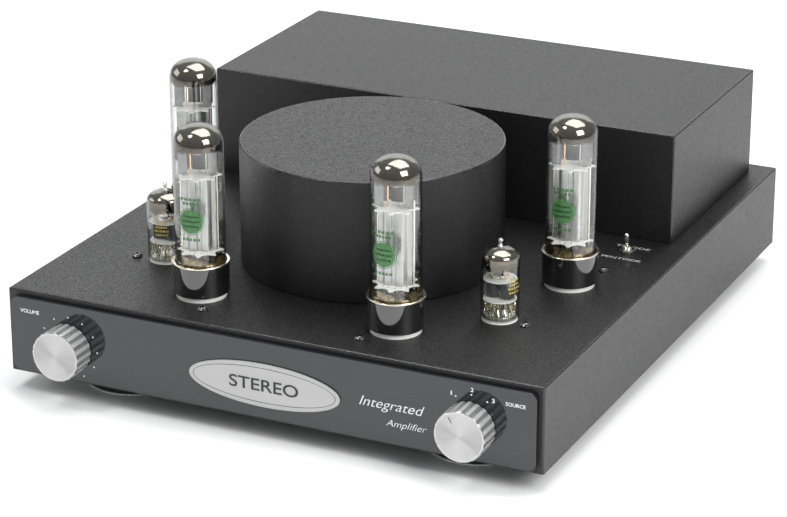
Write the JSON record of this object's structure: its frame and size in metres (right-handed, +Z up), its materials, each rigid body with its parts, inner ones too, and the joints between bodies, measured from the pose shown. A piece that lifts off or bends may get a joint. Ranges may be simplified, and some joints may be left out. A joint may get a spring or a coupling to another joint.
{
  "type": "tube amplifier",
  "caption": "Integrated stereo tube amplifier: low steel case on round feet, transformer covers, pull-out tubes, volume and source knobs, deck toggle, rear connectors.",
  "frame": {"origin": "on the floor, under the middle of the object", "axes": "+Z up; the front panel faces -Y; +X is to the right as seen from the front"},
  "size_m": [0.34, 0.4306, 0.1681],
  "materials": {
    "powder_coat": "fine textured black powder coat",
    "gloss_panel": "polished dark acrylic",
    "badge_metal": "satin, pale",
    "knob_metal": "spun face, fluted side",
    "chrome": "polished",
    "zinc_steel": "zinc plated",
    "foot_black": "black moulding with a bright metal ring",
    "black_base": "polished phenolic",
    "tube_glass": "clear, mirrored inside at the top by the getter",
    "plate_metal": "grey carbonised and plain nickel",
    "white_ceramic": "white",
    "wound_core": "wire wound on an iron core, wrapped in amber tape",
    "black_plastic": "moulded",
    "red_plastic": "moulded",
    "circuit_board": "green solder mask",
    "gold_plate": "gold plated"
  },
  "bodies": {
    "amplifier": {"bottom_plate": "powder_coat", "case": "powder_coat", "foot_front_left": "foot_black", "foot_front_right": "foot_black", "foot_rear_left": "foot_black", "foot_rear_right": "foot_black", "front_badge": "badge_metal", "front_panel": "gloss_panel", "input_jacks": "gold_plate", "main_board": "circuit_board", "mains_inlet": "black_plastic", "mains_transformer": "wound_core", "mains_transformer_bolt": "zinc_steel", "mains_transformer_cover": "powder_coat", "mode_toggle_body": "chrome", "mode_toggle_nut": "chrome", "output_left_transformer": "wound_core", "output_left_transformer_bolt": "zinc_steel", "output_right_transformer": "wound_core", "output_right_transformer_bolt": "zinc_steel", "output_transformer_cover": "powder_coat", "power_socket_front_left": "white_ceramic", "power_socket_front_right": "white_ceramic", "power_socket_rear_left": "white_ceramic", "power_socket_rear_right": "white_ceramic", "power_switch_frame": "black_plastic", "small_socket_left": "white_ceramic", "small_socket_right": "white_ceramic", "source_switch": "zinc_steel", "speaker_terminals_left": "black_plastic", "speaker_terminals_right": "black_plastic", "volume_potentiometer": "zinc_steel"},
    "volume_control": {"volume_knob": "knob_metal", "volume_shaft": "zinc_steel"},
    "source_control": {"source_knob": "knob_metal", "source_shaft": "zinc_steel"},
    "mode_toggle": {"mode_toggle_lever": "chrome"},
    "power_rocker": {"power_rocker": "black_plastic"},
    "power_tube_front_left": {"power_tube_front_left_base": "black_base", "power_tube_front_left_glass": "tube_glass", "power_tube_front_left_electrodes": "plate_metal"},
    "power_tube_front_right": {"power_tube_front_right_base": "black_base", "power_tube_front_right_glass": "tube_glass", "power_tube_front_right_electrodes": "plate_metal"},
    "power_tube_rear_left": {"power_tube_rear_left_base": "black_base", "power_tube_rear_left_glass": "tube_glass", "power_tube_rear_left_electrodes": "plate_metal"},
    "power_tube_rear_right": {"power_tube_rear_right_base": "black_base", "power_tube_rear_right_glass": "tube_glass", "power_tube_rear_right_electrodes": "plate_metal"},
    "small_tube_left": {"small_tube_left_glass": "tube_glass", "small_tube_left_electrodes": "plate_metal"},
    "small_tube_right": {"small_tube_right_glass": "tube_glass", "small_tube_right_electrodes": "plate_metal"},
    "terminal_cap_left_common": {"terminal_cap_left_common": "black_plastic"},
    "terminal_cap_left_four_ohm": {"terminal_cap_left_four_ohm": "red_plastic"},
    "terminal_cap_left_eight_ohm": {"terminal_cap_left_eight_ohm": "red_plastic"},
    "terminal_cap_right_common": {"terminal_cap_right_common": "black_plastic"},
    "terminal_cap_right_four_ohm": {"terminal_cap_right_four_ohm": "red_plastic"},
    "terminal_cap_right_eight_ohm": {"terminal_cap_right_eight_ohm": "red_plastic"}
  },
  "joints": [
    {"name": "volume_turn", "type": "hinge", "parent": "amplifier", "child": "volume_control", "pos_m": [-0.1278, -0.19955, 0.0343], "axis": [0, 1, 0], "range_deg": [0, 300]},
    {"name": "source_turn", "type": "hinge", "parent": "amplifier", "child": "source_control", "pos_m": [0.1278, -0.19955, 0.0343], "axis": [0, 1, 0], "range_deg": [0, 60]},
    {"name": "mode_toggle_tilt", "type": "hinge", "parent": "amplifier", "child": "mode_toggle", "pos_m": [0.137, 0.012, 0.0653], "axis": [-1, 0, 0], "range_deg": [0, 24]},
    {"name": "power_rocker_tilt", "type": "hinge", "parent": "amplifier", "child": "power_rocker", "pos_m": [-0.086, 0.19665, 0.0343], "axis": [1, 0, 0], "range_deg": [0, 16]},
    {"name": "power_tube_front_left_lift", "type": "slide", "parent": "amplifier", "child": "power_tube_front_left", "axis": [0, 0, 1], "range_m": [0, 0.022]},
    {"name": "power_tube_front_right_lift", "type": "slide", "parent": "amplifier", "child": "power_tube_front_right", "axis": [0, 0, 1], "range_m": [0, 0.022]},
    {"name": "power_tube_rear_left_lift", "type": "slide", "parent": "amplifier", "child": "power_tube_rear_left", "axis": [0, 0, 1], "range_m": [0, 0.022]},
    {"name": "power_tube_rear_right_lift", "type": "slide", "parent": "amplifier", "child": "power_tube_rear_right", "axis": [0, 0, 1], "range_m": [0, 0.022]},
    {"name": "small_tube_left_lift", "type": "slide", "parent": "amplifier", "child": "small_tube_left", "axis": [0, 0, 1], "range_m": [0, 0.016]},
    {"name": "small_tube_right_lift", "type": "slide", "parent": "amplifier", "child": "small_tube_right", "axis": [0, 0, 1], "range_m": [0, 0.016]},
    {"name": "terminal_cap_left_common_turn", "type": "hinge", "parent": "amplifier", "child": "terminal_cap_left_common", "pos_m": [-0.008, 0.20195, 0.0343], "axis": [0, 1, 0], "range_deg": [0, 360]},
    {"name": "terminal_cap_left_four_ohm_turn", "type": "hinge", "parent": "amplifier", "child": "terminal_cap_left_four_ohm", "pos_m": [-0.027, 0.20195, 0.0343], "axis": [0, 1, 0], "range_deg": [0, 360]},
    {"name": "terminal_cap_left_eight_ohm_turn", "type": "hinge", "parent": "amplifier", "child": "terminal_cap_left_eight_ohm", "pos_m": [-0.046, 0.20195, 0.0343], "axis": [0, 1, 0], "range_deg": [0, 360]},
    {"name": "terminal_cap_right_common_turn", "type": "hinge", "parent": "amplifier", "child": "terminal_cap_right_common", "pos_m": [0.062, 0.20195, 0.0343], "axis": [0, 1, 0], "range_deg": [0, 360]},
    {"name": "terminal_cap_right_four_ohm_turn", "type": "hinge", "parent": "amplifier", "child": "terminal_cap_right_four_ohm", "pos_m": [0.043, 0.20195, 0.0343], "axis": [0, 1, 0], "range_deg": [0, 360]},
    {"name": "terminal_cap_right_eight_ohm_turn", "type": "hinge", "parent": "amplifier", "child": "terminal_cap_right_eight_ohm", "pos_m": [0.024, 0.20195, 0.0343], "axis": [0, 1, 0], "range_deg": [0, 360]}
  ]
}
